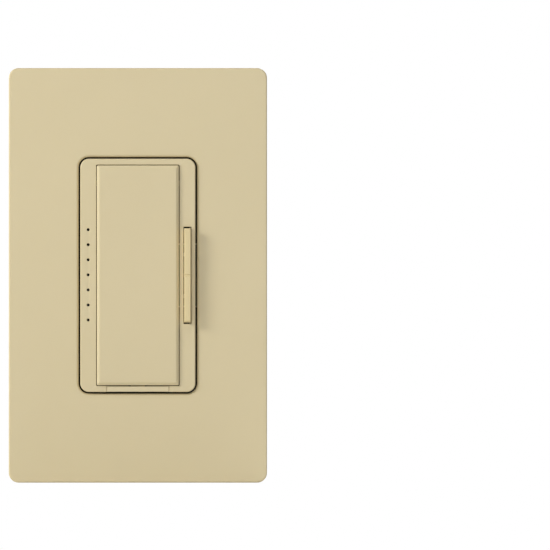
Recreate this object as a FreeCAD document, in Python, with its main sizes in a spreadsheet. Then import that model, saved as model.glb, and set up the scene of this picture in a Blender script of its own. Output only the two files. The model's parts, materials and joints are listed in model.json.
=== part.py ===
import FreeCAD, Part
import math
import operator
import os

import Sketcher

# Frame: +Z is up, +X is right as seen from the room, and the room is on the -Y side.
# The wall surface is the plane y = 0, and the origin lies midway between the two box screws.

doc = FreeCAD.newDocument("tap_dimmer")
sheet = doc.addObject("Spreadsheet::Sheet", "Dims")

DIMENSIONS = {
    # faceplate, snapped over its adapter
    "plate_width": 74.4,
    "plate_height": 119.4,
    "plate_depth": 7.6,
    "plate_corner": 2.85,
    "plate_skin": 2.4,
    "plate_wall": 1.6,
    "plate_edge": 0.45,
    "window_width": 34.07,
    "window_height": 68.09,
    "window_corner": 2.95,
    "window_edge": 0.7,
    "window_rim": 1.2,
    "rim_proud": 1.0,
    "rib_x": 20.0,
    "rib_width": 8.0,
    "rib_proud": 0.45,
    "pry_width": 8.0,
    "pry_depth": 1.4,
    # adapter, screwed to the yoke
    "adapter_face": 3.8,
    "adapter_side": 0.4,
    "adapter_wall": 1.4,
    "adapter_screw_z": 48.4,
    "adapter_window_play": 0.25,
    "head_opening": 3.5,
    "countersink": 1.1,
    # yoke
    "yoke_thick": 1.6,
    "yoke_width": 62.0,
    "yoke_height": 74.0,
    "ear_width": 24.0,
    "ear_height": 106.0,
    "box_screw_z": 41.65,
    "thread_radius": 1.75,
    "neck_radius": 1.4,
    "thread_start": 0.7,
    # bezel
    "bezel_width": 33.15,
    "bezel_height": 67.17,
    "bezel_corner": 2.5,
    "bezel_front": 8.3,
    "bezel_skin": 1.8,
    "bezel_wall": 1.68,
    "bezel_edge": 0.3,
    "boss_radius": 2.0,
    "boss_bore": 1.1,
    "ear_half": 2.0,
    "web_back": 3.0,
    "notch_play": 0.1,
    "notch_floor": 3.2,
    "pin_play": 0.05,
    # tap switch
    "tap_width": 23.65,
    "tap_height": 63.35,
    "tap_front": 9.2,
    "tap_play": 0.18,
    "tap_skin": 1.8,
    "tap_wall": 1.45,
    "tap_back": 5.4,
    "tap_roll": 1.0,
    "tap_pivot_y": 5.2,
    "tap_pivot_z": 26.5,
    "tap_post_z": 10.5,
    "tap_post_radius": 1.6,
    "tap_pin_radius": 0.8,
    "tap_pin_end": 13.3,
    "foot_back": 2.0,
    # raise and lower rocker
    "rocker_x": 14.2,
    "rocker_width": 1.93,
    "rocker_height": 27.13,
    "rocker_front": 10.5,
    "rocker_back": 4.0,
    "rocker_roll": 1.1,
    "rocker_soften": 0.25,
    "rocker_pin_radius": 0.6,
    "rocker_side_play": 0.15,
    "rocker_end_play": 0.42,
    "slot_corner": 0.15,
    "rocker_pivot_y": 5.0,
    "rocker_foot_z": 6.0,
    # level lamps
    "lamp_x": 14.3,
    "lamp_z": 0.15,
    "lamp_pitch": 4.337,
    "lamp_hole": 0.42,
    "pipe_half": 15.0,
    "pipe_thick": 1.2,
    "pipe_post_radius": 0.6,
    # air-gap tab
    "tab_width": 17.86,
    "tab_top": 31.95,
    "tab_bottom": 33.5,
    "tab_back": 3.4,
    "stem_half": 2.5,
    "stem_back": 8.8,
    # rear housing
    "housing_width": 43.5,
    "housing_height": 69.5,
    "housing_depth": 29.0,
    "housing_wall": 1.6,
    "corner_screw_x": 14.2,
    "corner_screw_z": 31.0,
    "terminal_y": 9.7,
    "counterbore": 2.3,
    "counterbore_floor": 7.6,
    # triac, clamped to the yoke as its heatsink
    "triac_z": -22.5,
    "triac_screw_x": -4.2,
    # circuit boards
    "board_thick": 1.6,
    "control_front": 2.6,
    "control_bottom": 16.8,
    "control_top": 27.5,
    "power_front": 15.0,
    "power_width": 39.2,
    "power_height": 54.8,
}

OPERATORS = {"+": operator.add, "-": operator.sub, "*": operator.mul, "/": operator.truediv}


class Size:
    # A length together with the sheet expression that it comes from.
    def __init__(self, value, text):
        self.value = float(value)
        self.text = text

    def __add__(self, other):
        return combine(self, "+", other)

    def __radd__(self, other):
        return combine(other, "+", self)

    def __sub__(self, other):
        return combine(self, "-", other)

    def __rsub__(self, other):
        return combine(other, "-", self)

    def __mul__(self, other):
        return combine(self, "*", other)

    def __rmul__(self, other):
        return combine(other, "*", self)

    def __truediv__(self, other):
        return combine(self, "/", other)

    def __neg__(self):
        return combine(0, "-", self)


def sized(number):
    if isinstance(number, Size):
        return number
    return Size(number, "(%.6g)" % number)


def combine(left, sign, right):
    left, right = sized(left), sized(right)
    return Size(OPERATORS[sign](left.value, right.value), "(%s %s %s)" % (left.text, sign, right.text))


class Sizes:
    # Every driving dimension as an attribute, with its cell on the sheet.
    def __init__(self, numbers):
        for row, (name, number) in enumerate(numbers.items(), start=1):
            sheet.set("A%d" % row, name)
            sheet.set("B%d" % row, str(number))
            sheet.setAlias("B%d" % row, name)
            setattr(self, name, Size(number, "Dims." + name))


d = Sizes(DIMENSIONS)
doc.recompute()
nodes = []


# ---------------------------------------------------------------- sketch outlines

def pin(sketch, kind, geometry, point, size):
    size = sized(size)
    index = sketch.addConstraint(Sketcher.Constraint(kind, -1, 1, geometry, point, size.value))
    sketch.setExpression("Constraints[%d]" % index, size.text)


def polygon(*points):
    points = [(sized(across), sized(up)) for across, up in points]

    def draw(sketch):
        corners = [FreeCAD.Vector(across.value, up.value, 0) for across, up in points]
        first = sketch.GeometryCount
        count = len(corners)
        for i in range(count):
            sketch.addGeometry(Part.LineSegment(corners[i], corners[(i + 1) % count]), False)
        for i in range(count):
            joined = Sketcher.Constraint("Coincident", first + i, 2, first + (i + 1) % count, 1)
            sketch.addConstraint(joined)
        for i, (across, up) in enumerate(points):
            pin(sketch, "DistanceX", first + i, 1, across)
            pin(sketch, "DistanceY", first + i, 1, up)

    return draw


def rectangle(left, right, bottom, top, radius=0):
    if not isinstance(radius, Size) and radius == 0:
        return polygon((left, bottom), (right, bottom), (right, top), (left, top))
    left, right, bottom, top, radius = [sized(term) for term in (left, right, bottom, top, radius)]

    def draw(sketch):
        x0, x1, y0, y1, r = left.value, right.value, bottom.value, top.value, radius.value
        starts = [(x0 + r, y0), (x1, y0 + r), (x1 - r, y1), (x0, y1 - r)]
        ends = [(x1 - r, y0), (x1, y1 - r), (x0 + r, y1), (x0, y0 + r)]
        centres = [(x1 - r, y0 + r), (x1 - r, y1 - r), (x0 + r, y1 - r), (x0 + r, y0 + r)]
        first = sketch.GeometryCount
        for i in range(4):
            line = Part.LineSegment(FreeCAD.Vector(*starts[i], 0), FreeCAD.Vector(*ends[i], 0))
            sketch.addGeometry(line, False)
            rim = Part.Circle(FreeCAD.Vector(*centres[i], 0), FreeCAD.Vector(0, 0, 1), r)
            turn = (i - 1) * math.pi / 2
            sketch.addGeometry(Part.ArcOfCircle(rim, turn, turn + math.pi / 2), False)
        for i in range(8):
            tangent = Sketcher.Constraint("Tangent", first + i, 2, first + (i + 1) % 8, 1)
            sketch.addConstraint(tangent)
        for i, kind in enumerate(["Horizontal", "Vertical", "Horizontal", "Vertical"]):
            sketch.addConstraint(Sketcher.Constraint(kind, first + 2 * i))
        for i in (3, 5, 7):
            sketch.addConstraint(Sketcher.Constraint("Equal", first + 1, first + i))
        index = sketch.addConstraint(Sketcher.Constraint("Radius", first + 1, r))
        sketch.setExpression("Constraints[%d]" % index, radius.text)
        pin(sketch, "DistanceY", first, 1, bottom)
        pin(sketch, "DistanceX", first + 2, 1, right)
        pin(sketch, "DistanceY", first + 4, 1, top)
        pin(sketch, "DistanceX", first + 6, 1, left)

    return draw


def centred(width, height, radius=0):
    return rectangle(-(width / 2), width / 2, -(height / 2), height / 2, radius)


def patch(across, up, width, height, radius=0):
    return rectangle(across - width / 2, across + width / 2, up - height / 2, up + height / 2, radius)


def circle(across, up, radius):
    across, up, radius = sized(across), sized(up), sized(radius)

    def draw(sketch):
        centre = FreeCAD.Vector(across.value, up.value, 0)
        index = sketch.GeometryCount
        sketch.addGeometry(Part.Circle(centre, FreeCAD.Vector(0, 0, 1), radius.value), False)
        rim = sketch.addConstraint(Sketcher.Constraint("Radius", index, radius.value))
        sketch.setExpression("Constraints[%d]" % rim, radius.text)
        pin(sketch, "DistanceX", index, 3, across)
        pin(sketch, "DistanceY", index, 3, up)

    return draw


# ---------------------------------------------------------------- features

# The origin plane square to each axis, and +1 where its normal runs along that axis.
PLANES = {"X": ("YZ_Plane", 1), "Y": ("XZ_Plane", -1), "Z": ("XY_Plane", 1)}


def new_body(label, is_node=True):
    body = doc.addObject("PartDesign::Body", "Body")
    body.Label = label
    if is_node:
        nodes.append(body)
    return body


def sketch_on(body, axis, level, outlines):
    role, sense = PLANES[axis]
    plane = [feature for feature in body.Origin.OriginFeatures if feature.Role == role][0]
    sketch = body.newObject("Sketcher::SketchObject", "Outline")
    sketch.AttachmentSupport = [(plane, "")]
    sketch.MapMode = "FlatFace"
    sketch.setExpression("AttachmentOffset.Base.z", (sized(level) * sense).text)
    for outline in outlines:
        outline(sketch)
    return sketch


def volume(body):
    doc.recompute()
    return body.Shape.Volume if body.Tip else 0.0


def add(body, axis, low, high, *outlines):
    # Pads the outlines from low to high along the axis.
    before = volume(body)
    start = high if axis == "Y" else low
    sketch = sketch_on(body, axis, start, outlines)
    pad = body.newObject("PartDesign::Pad", "Pad")
    pad.Profile = sketch
    pad.setExpression("Length", (sized(high) - low).text)
    if volume(body) <= before:
        raise RuntimeError("a pad on %s adds nothing" % body.Label)
    return pad


def cut(body, axis, low, high, *outlines):
    # Pockets the outlines from low to high along the axis.
    before = volume(body)
    start = low if axis == "Y" else high
    sketch = sketch_on(body, axis, start, outlines)
    pocket = body.newObject("PartDesign::Pocket", "Pocket")
    pocket.Profile = sketch
    pocket.setExpression("Length", (sized(high) - low).text)
    if volume(body) >= before:
        raise RuntimeError("a pocket in %s removes nothing" % body.Label)
    return pocket


def turned(body, along, centre, profile, angle=360):
    # Turns a profile of (distance along the axis, radius) points about an axis through centre.
    sketch = sketch_on(body, "Z", centre[1], [])
    if along == "Y":
        sketch.setExpression("AttachmentOffset.Base.x", sized(centre[0]).text)
        polygons = [[(radius, place) for place, radius in loop] for loop in profile]
    else:
        sketch.setExpression("AttachmentOffset.Base.y", sized(centre[0]).text)
        polygons = profile
    for loop in polygons:
        polygon(*loop)(sketch)
    turn = body.newObject("PartDesign::Revolution", "Turn")
    turn.Profile = sketch
    turn.ReferenceAxis = (sketch, ["V_Axis" if along == "Y" else "H_Axis"])
    turn.Angle = angle
    doc.recompute()
    return turn


def flat(box, y):
    return abs(box.YMin - y) < 0.001 and abs(box.YMax - y) < 0.001


def beyond(half_width, half_height):
    # Whether an edge's box lies outside a rectangle about the middle of the front.
    def test(box):
        return (
            max(abs(box.XMin), abs(box.XMax)) > half_width
            or max(abs(box.ZMin), abs(box.ZMax)) > half_height
        )

    return test


def dress(body, kind, size, test):
    # A fillet or a chamfer on the edges whose boxes pass the test.
    doc.recompute()
    base = body.Tip
    boxes = [edge.BoundBox for edge in body.Shape.Edges]
    names = ["Edge%d" % i for i, box in enumerate(boxes, start=1) if test(box)]
    feature = body.newObject("PartDesign::" + kind, kind)
    feature.Base = (base, names)
    feature.setExpression("Radius" if kind == "Fillet" else "Size", sized(size).text)
    doc.recompute()
    return feature


def group(label, bodies):
    compound = doc.addObject("Part::Compound", "Group")
    compound.Label = label
    compound.Links = bodies
    nodes.append(compound)
    return compound


def side_span(side, near, far):
    # The X interval between two distances from the middle, on the right (+1) or the left (-1).
    return (near, far) if side > 0 else (-sized(far), -sized(near))


def lamp_height(i):
    # The height of a level lamp, counted from the middle one.
    return d.lamp_z + d.lamp_pitch * i


# ---------------------------------------------------------------- front covers

def make_faceplate():
    body = new_body("faceplate")
    inner_y = d.plate_depth - d.plate_skin
    inner_width = d.plate_width - d.plate_wall * 2
    inner_height = d.plate_height - d.plate_wall * 2
    add(body, "Y", -d.plate_depth, 0, centred(d.plate_width, d.plate_height, d.plate_corner))
    cut(body, "Y", -inner_y, 0, centred(inner_width, inner_height, d.plate_corner - d.plate_wall))
    rim_back = inner_y - d.rim_proud
    rim = centred(
        d.window_width + d.window_rim * 2,
        d.window_height + d.window_rim * 2,
        d.window_corner + d.window_rim,
    )
    add(body, "Y", -inner_y, -rim_back, rim)
    window = centred(d.window_width, d.window_height, d.window_corner)
    cut(body, "Y", -d.plate_depth, -rim_back, window)
    # ribs that grip the adapter's top and bottom edges when the plate is pushed home
    ribs = []
    for side in (-1, 1):
        for end in (-1, 1):
            rib_z = (inner_height / 2 - 0.125) * end
            ribs.append(patch(d.rib_x * side, rib_z, d.rib_width, d.rib_proud))
    add(body, "Y", -inner_y, -2.0, *ribs)
    # notch in the lower rim for a screwdriver blade
    rim_z = (d.plate_wall - d.plate_height) / 2
    cut(body, "Y", -d.pry_depth, 0, patch(0.0, rim_z, d.pry_width, d.plate_wall + 0.1))
    front = -d.plate_depth.value
    outside = beyond(d.window_width.value / 2 + 1.0, d.window_height.value / 2 + 1.0)
    dress(body, "Fillet", d.plate_edge, lambda box: flat(box, front) and outside(box))
    dress(body, "Fillet", d.window_edge, lambda box: flat(box, front) and not outside(box))


def make_adapter():
    body = new_body("faceplate_adapter")
    width = d.plate_width - (d.plate_wall + d.adapter_side) * 2
    height = d.plate_height - (d.plate_wall + d.adapter_side) * 2
    add(body, "Y", -d.adapter_face, 0, centred(width, height, sized(1.0)))
    inner = centred(width - d.adapter_wall * 2, height - d.adapter_wall * 2)
    cut(body, "Y", -d.yoke_thick, 0, inner)
    growth = d.adapter_window_play * 2
    window = centred(d.window_width + growth, d.window_height + growth, sized(3.1))
    heads = [circle(0, d.box_screw_z * end, d.head_opening) for end in (-1, 1)]
    hole_radius = d.thread_radius + 0.15
    holes = [circle(0, d.adapter_screw_z * end, hole_radius) for end in (-1, 1)]
    cut(body, "Y", -d.adapter_face, -d.yoke_thick, window, *heads, *holes)

    face = -d.adapter_face.value
    across = hole_radius.value * 2
    dress(body, "Chamfer", d.countersink, lambda box: flat(box, face) and abs(box.XLength - across) < 0.01)


def make_bezel():
    body = new_body("bezel")
    skin_back = -(d.bezel_front - d.bezel_skin)
    back = -d.yoke_thick
    half_height = d.bezel_height / 2
    add(body, "Y", -d.bezel_front, back, centred(d.bezel_width, d.bezel_height, d.bezel_corner))
    hollow = centred(d.bezel_width - d.bezel_wall * 2, d.bezel_height - d.bezel_wall * 2, sized(1.0))
    cut(body, "Y", skin_back, back, hollow)
    # webs beside the rocker and ears beside the tap switch's pivots
    slot_half = d.rocker_width / 2 + d.rocker_side_play
    slot_left = d.rocker_x - slot_half
    opening_half = d.tap_width / 2 + d.tap_play
    web = rectangle(opening_half, slot_left, -15.5, 15.5)
    add(body, "Y", skin_back, -d.web_back, web)
    for side in (-1, 1):
        ear_left, ear_right = side_span(side, 12.2, 14.0)
        ear = rectangle(ear_left, ear_right, d.tap_pivot_z - d.ear_half, d.tap_pivot_z + d.ear_half)
        add(body, "Y", skin_back, -d.web_back, ear)
    # bored bosses for the screws that hold the housing
    for x in (-1, 1):
        for z in (-1, 1):
            centre = (d.corner_screw_x * x, d.corner_screw_z * z)
            add(body, "Y", skin_back, back, circle(*centre, d.boss_radius))
            cut(body, "Y", -6.0, back, circle(*centre, d.boss_bore))
    # front openings: the tap switch, the rocker's slot, the lamp holes and the air-gap tab's notch
    opening = centred(d.tap_width + d.tap_play * 2, d.tap_height + d.tap_play * 2, sized(0.3))
    cut(body, "Y", -d.bezel_front, skin_back, opening)
    slot_end = d.rocker_height / 2 + d.rocker_end_play
    slot = rectangle(slot_left, d.rocker_x + slot_half, -slot_end, slot_end, d.slot_corner)
    cut(body, "Y", -d.bezel_front, back, slot)
    lamps = [circle(-d.lamp_x, lamp_height(i), d.lamp_hole) for i in range(-3, 4)]
    cut(body, "Y", -d.bezel_front, skin_back, *lamps)
    notch_half = d.tab_width / 2 + d.notch_play
    notch_top = -(d.tap_height / 2 + d.tap_play) + 0.05
    notch = rectangle(-notch_half, notch_half, -half_height - 0.1, notch_top)
    cut(body, "Y", -d.bezel_front, -d.notch_floor, notch)
    cut(body, "Y", -d.notch_floor, back, rectangle(-2.7, 2.7, -33.15, -31.8))
    # pivot sockets
    cut(body, "X", 12.55, 16.05, circle(-d.rocker_pivot_y, 0, d.rocker_pin_radius + d.pin_play))
    for side in (-1, 1):
        low, high = side_span(side, 12.1, 13.5)
        socket = circle(-d.tap_pivot_y, d.tap_pivot_z, d.tap_pin_radius + d.pin_play)
        cut(body, "X", low, high, socket)
    front = -d.bezel_front.value
    outside = beyond(d.bezel_width.value / 2 - 0.1, d.bezel_height.value / 2 - 0.02)
    dress(body, "Fillet", d.bezel_edge, lambda box: flat(box, front) and outside(box))


def make_tap_switch():
    body = new_body("tap_switch")
    inside = -(d.tap_front - d.tap_skin)
    add(body, "Y", -d.tap_front, -d.tap_back, centred(d.tap_width, d.tap_height, sized(0.3)))
    dress(body, "Fillet", d.tap_roll, lambda box: flat(box, -d.tap_front.value))
    hollow = centred(d.tap_width - d.tap_wall * 2, d.tap_height - d.tap_wall * 2)
    cut(body, "Y", inside, -d.tap_back, hollow)
    add(body, "Y", inside, -d.foot_back, circle(0, d.tap_post_z, d.tap_post_radius))
    half_width = d.tap_width / 2
    for side in (-1, 1):
        left, right = side_span(side, half_width - d.tap_wall, half_width)
        lug = rectangle(left, right, d.tap_pivot_z - d.ear_half, d.tap_pivot_z + d.ear_half)
        add(body, "Y", inside, -4.0, lug)
        left, right = side_span(side, half_width - d.tap_wall, d.tap_pin_end)
        add(body, "X", left, right, circle(-d.tap_pivot_y, d.tap_pivot_z, d.tap_pin_radius))


def make_rocker():
    body = new_body("level_rocker")
    half = d.rocker_height / 2
    left = d.rocker_x - d.rocker_width / 2
    right = d.rocker_x + d.rocker_width / 2
    add(body, "Y", -d.rocker_front, -d.rocker_back, rectangle(left, right, -half, half))
    front = -d.rocker_front
    dress(body, "Fillet", d.rocker_roll, lambda box: flat(box, front.value) and box.ZLength < 0.01)
    # finger notch across the middle
    cut(body, "X", left, right, polygon((front - 0.1, -0.5), (front + 0.3, 0), (front - 0.1, 0.5)))
    dress(body, "Fillet", d.rocker_soften, lambda box: box.YMax < -9.0 and box.XLength < 0.001)
    add(body, "X", 12.65, 15.95, circle(-d.rocker_pivot_y, 0, d.rocker_pin_radius))
    feet = [patch(d.rocker_x, d.rocker_foot_z * end, sized(1.6), sized(1.2)) for end in (-1, 1)]
    for foot in feet:
        add(body, "Y", -d.rocker_back - 0.1, -d.foot_back, foot)


def make_air_gap_tab():
    body = new_body("air_gap_tab")
    half = d.tab_width / 2
    add(body, "Y", -d.bezel_front, -d.tab_back, rectangle(-half, half, -d.tab_bottom, -d.tab_top))
    stem = rectangle(-d.stem_half, d.stem_half, -32.95, -32.05)
    add(body, "Y", -d.tab_back, d.stem_back, stem)


def make_light_pipe():
    body = new_body("light_pipe")
    skin_back = -(d.bezel_front - d.bezel_skin)
    pipe_back = skin_back + d.pipe_thick
    add(body, "Y", skin_back, pipe_back, rectangle(-14.85, -12.7, -d.pipe_half, d.pipe_half))
    for i in range(-3, 4):
        centre = lamp_height(i)
        add(body, "Y", skin_back - 1.2, skin_back, circle(-d.lamp_x, centre, d.lamp_hole - 0.08))
        add(body, "Y", pipe_back, 1.4, circle(-d.lamp_x + 0.1, centre, d.pipe_post_radius))


# ---------------------------------------------------------------- yoke and fasteners

def make_yoke():
    body = new_body("yoke")
    front = -d.yoke_thick
    add(body, "Y", front, 0, centred(d.yoke_width, d.yoke_height, sized(1.5)))
    add(body, "Y", front, 0, centred(d.ear_width, d.ear_height, sized(1.5)))
    openings = [
        patch(0, d.tap_post_z, sized(7.2), sized(7.2)),
        rectangle(11.6, 17.0, -9.2, 9.2),
        rectangle(-15.9, -12.5, -15.3, 15.3),
        rectangle(-3.2, 3.2, -33.4, -31.6),
        circle(d.triac_screw_x, d.triac_z, 1.55),
        circle(8.0, -44.5, 1.8),
    ]
    for end in (-1, 1):
        openings.append(rectangle(-3.3, 3.3, d.box_screw_z * end - 2.1, d.box_screw_z * end + 2.1, 2.0))
        openings.append(circle(0, d.adapter_screw_z * end, d.thread_radius + 0.05))
        for side in (-1, 1):
            openings.append(circle(d.corner_screw_x * side, d.corner_screw_z * end, 1.5))
    cut(body, "Y", front, 0, *openings)
    # score lines where the side fins snap off for ganged boxes
    fins = [patch(27.5 * side, sized(0), sized(0.5), d.yoke_height) for side in (-1, 1)]
    cut(body, "Y", front, front + 0.6, *fins)


def screw(label, along, centre, profile, is_node=False):
    body = new_body(label, is_node)
    turned(body, along, centre, [profile])
    return body


def cross_slot(body, axis, across, up, low, high, size):
    # A cross recess: two crossed bars.
    bars = [
        patch(sized(across), sized(up), sized(size), sized(size / 4)),
        patch(sized(across), sized(up), sized(size / 4), sized(size)),
    ]
    for bar in bars:
        cut(body, axis, low, high, bar)


def make_fasteners():
    face = -d.yoke_thick
    box_screws, adapter_screws, washers, corner_screws = [], [], [], []
    for end in (-1, 1):
        height = d.box_screw_z * end
        profile = [(face - 2.0, 0), (face - 2.0, 2.0), (face - 1.1, 2.9), (face, 3.1),
                   (face, d.neck_radius), (d.thread_start, d.neck_radius),
                   (d.thread_start, d.thread_radius), (22.0, d.thread_radius), (22.8, 1.0), (22.8, 0)]
        body = screw("box_screw", "Y", (0, height), profile)
        cross_slot(body, "Y", 0, height, face - 2.0, face - 0.8, 2.8)
        box_screws.append(body)

        height = d.adapter_screw_z * end
        head = -d.adapter_face + 0.05
        profile = [(head, 0), (head, 2.9), (head + 1.15, d.thread_radius),
                   (1.0, d.thread_radius), (1.0, 0)]
        body = screw("adapter_screw", "Y", (0, height), profile)
        cut(body, "Y", head, head + 0.9, patch(0, height, sized(5.9), sized(0.9)))
        adapter_screws.append(body)

        ring = [(0, d.neck_radius + 0.05), (0, 4.0), (0.6, 4.0), (0.6, d.neck_radius + 0.05)]
        washers.append(screw("retainer", "Y", (0, d.box_screw_z * end), ring))

        for side in (-1, 1):
            centre = (d.corner_screw_x * side, d.corner_screw_z * end)
            seat = d.counterbore_floor
            profile = [(-5.6, 0), (-5.6, 1.0), (seat, 1.0), (seat, 2.1), (9.0, 2.1), (9.4, 1.6), (9.4, 0)]
            body = screw("corner_screw", "Y", centre, profile)
            cross_slot(body, "Y", centre[0], centre[1], 8.4, 9.4, 2.0)
            corner_screws.append(body)
    group("box_screws", box_screws)
    group("adapter_screws", adapter_screws)
    group("screw_retainers", washers)
    group("housing_screws", corner_screws)

    profile = [(-1.5, 0), (-1.5, 1.75), (0, 1.75), (0, 3.2), (2.0, 3.2), (2.4, 2.7), (2.4, 0)]
    body = screw("ground_screw", "Y", (8.0, -44.5), profile, True)
    cut(body, "Y", 1.4, 2.4, patch(sized(8.0), sized(-44.5), sized(6.6), sized(1.0)))

    profile = [(-1.3, 0), (-1.3, 1.5), (1.6, 1.5), (1.6, 2.75), (3.0, 2.75), (3.4, 2.2), (3.4, 0)]
    body = screw("triac_screw", "Y", (d.triac_screw_x, d.triac_z), profile, True)
    cross_slot(body, "Y", d.triac_screw_x, d.triac_z, 2.4, 3.4, 2.4)


# ---------------------------------------------------------------- control side

def make_control_side():
    back = d.control_front + d.board_thick
    board = new_body("control_board")
    add(board, "Y", d.control_front, back, rectangle(-20.0, 20.0, -d.control_bottom, d.control_top))
    sheet_body = new_body("insulating_sheet")
    add(sheet_body, "Y", 0, 0.4, rectangle(-20.0, 20.0, -d.control_bottom, d.control_top))
    holes = [
        patch(0, d.tap_post_z, sized(6.8), sized(6.8)),
        rectangle(11.8, 16.8, -8.8, 8.8),
        rectangle(-15.4, -13.0, -15.0, 15.0),
    ]
    cut(sheet_body, "Y", 0, 0.4, *holes)

    for i in range(-3, 4):
        lamp = new_body("level_lamp_%d" % (i + 4))
        chip = patch(-d.lamp_x + 0.1, lamp_height(i), sized(1.6), sized(0.9))
        add(lamp, "Y", d.control_front - 0.8, d.control_front, chip)

    switches = [
        ("tap", sized(0), d.tap_post_z, 3.0, 1.65),
        ("raise", d.rocker_x, d.rocker_foot_z, 2.2, 1.1),
        ("lower", d.rocker_x, -d.rocker_foot_z, 2.2, 1.1),
    ]
    for name, across, up, half, radius in switches:
        contact = new_body(name + "_contact")
        add(contact, "Y", -0.9, d.control_front, patch(across, up, sized(half * 2), sized(half * 2)))
        cut(contact, "Y", -0.9, 1.2, circle(across, up, radius + 0.1))
        plunger = new_body(name + "_plunger")
        add(plunger, "Y", -1.95, 0.6, circle(across, up, radius))

    processor = new_body("microcontroller")
    add(processor, "Y", back, back + 1.0, rectangle(-6.0, 1.0, 14.0, 21.0))
    header = new_body("board_header")
    add(header, "Y", back, back + 2.5, rectangle(-12.0, 3.24, -15.0, -12.5))
    pins = [patch(-10.73 + 2.54 * i, sized(-13.75), sized(0.64), sized(0.64)) for i in range(6)]
    for one in pins:
        add(header, "Y", back + 2.5, d.power_front, one)


# ---------------------------------------------------------------- power side

def make_triac():
    pad = new_body("triac_pad")
    add(pad, "Y", 0, 0.3, rectangle(-17.0, -0.5, d.triac_z - 5.2, d.triac_z + 5.2))
    cut(pad, "Y", 0, 0.3, circle(d.triac_screw_x, d.triac_z, 1.7))
    body = new_body("triac")
    bottom, top = d.triac_z - 5.0, d.triac_z + 5.0
    add(body, "Y", 0.3, 1.6, rectangle(-16.5, -1.0, bottom, top))
    add(body, "Y", 1.6, 4.8, rectangle(-16.5, -7.6, bottom, top))
    cut(body, "Y", 0.3, 1.6, circle(d.triac_screw_x, d.triac_z, 1.7))
    for i in (-1, 0, 1):
        low, high = d.triac_z + 2.54 * i - 0.4, d.triac_z + 2.54 * i + 0.4
        add(body, "Y", 2.4, 2.9, rectangle(-18.4, -16.5, low, high))
        add(body, "Y", 2.4, d.power_front, rectangle(-18.4, -17.9, low, high))


def make_power_side():
    front = d.power_front
    back = front + d.board_thick
    board = new_body("power_board")
    add(board, "Y", front, back, centred(d.power_width, d.power_height))

    core = new_body("choke_core")
    turned(core, "Y", (-7.0, 12.0), [[(17.6, 4.4), (17.6, 8.2), (23.6, 8.2), (23.6, 4.4)]])
    winding = new_body("choke_winding")
    outer = [(16.8, 3.5), (16.8, 9.1), (24.4, 9.1), (24.4, 3.5)]
    inner = [(17.55, 4.35), (17.55, 8.25), (23.65, 8.25), (23.65, 4.35)]
    turned(winding, "Y", (-7.0, 12.0), [outer, inner], 320)

    film = new_body("film_capacitor")
    add(film, "Y", back, 26.0, rectangle(5.5, 17.5, 0.0, 18.0, 0.8))
    electrolytic = new_body("supply_capacitor")
    add(electrolytic, "Y", back, 26.6, circle(-12.0, -12.0, 4.0))
    varistor = new_body("varistor")
    add(varistor, "X", 8.0, 12.0, circle(22.0, -10.0, 4.5))
    for up in (-12.0, -8.0):
        add(varistor, "Y", back, 19.0, circle(10.0, up, 0.35))
    fuse = new_body("thermal_fuse")
    add(fuse, "Z", -8.0, 4.0, circle(8.0, front - 1.8, 1.8))
    resistor = new_body("dropper_resistor")
    add(resistor, "Z", -6.0, 8.0, circle(-8.0, front - 2.2, 2.2))

    leaf = new_body("contact_leaf")
    add(leaf, "Y", 8.9, 9.2, rectangle(-2.0, 2.0, -32.9, -24.5))
    post = new_body("contact_post")
    add(post, "Y", 8.7, front, rectangle(-2.0, 2.0, -24.4, -24.0))
    fixed = new_body("fixed_contact")
    add(fixed, "Y", 9.35, 9.9, rectangle(-2.0, 2.0, -32.9, -26.9))
    add(fixed, "Y", 9.9, front, rectangle(-2.0, 2.0, -27.3, -26.9))


# Each wiring terminal: its name, the side of the housing and its height.
TERMINALS = [("line", 1, 15.0), ("load", 1, -9.0), ("remote", -1, 3.0)]


def make_terminals():
    for name, side, up in TERMINALS:
        plate = new_body(name + "_terminal_plate")
        low, high = side_span(side, 18.6, 19.4)
        add(plate, "X", low, high, rectangle(5.9, 13.6, up - 3.9, up + 3.9))
        add(plate, "Y", 13.5, d.power_front, rectangle(low, high, up - 1.5, up + 1.5))
        cut(plate, "X", low, high, circle(d.terminal_y, up, 1.85))
        profile = [(15.5, 0), (15.5, 1.75), (19.4, 1.75), (19.4, 3.4), (21.4, 3.4), (21.9, 2.9), (21.9, 0)]
        profile = [(place * side, radius) for place, radius in profile]
        body = screw(name + "_terminal_screw", "X", (d.terminal_y, up), profile, True)
        low, high = side_span(side, 21.0, 21.9)
        cut(body, "X", low, high, patch(d.terminal_y, sized(up), sized(1.0), sized(7.0)))


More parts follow.
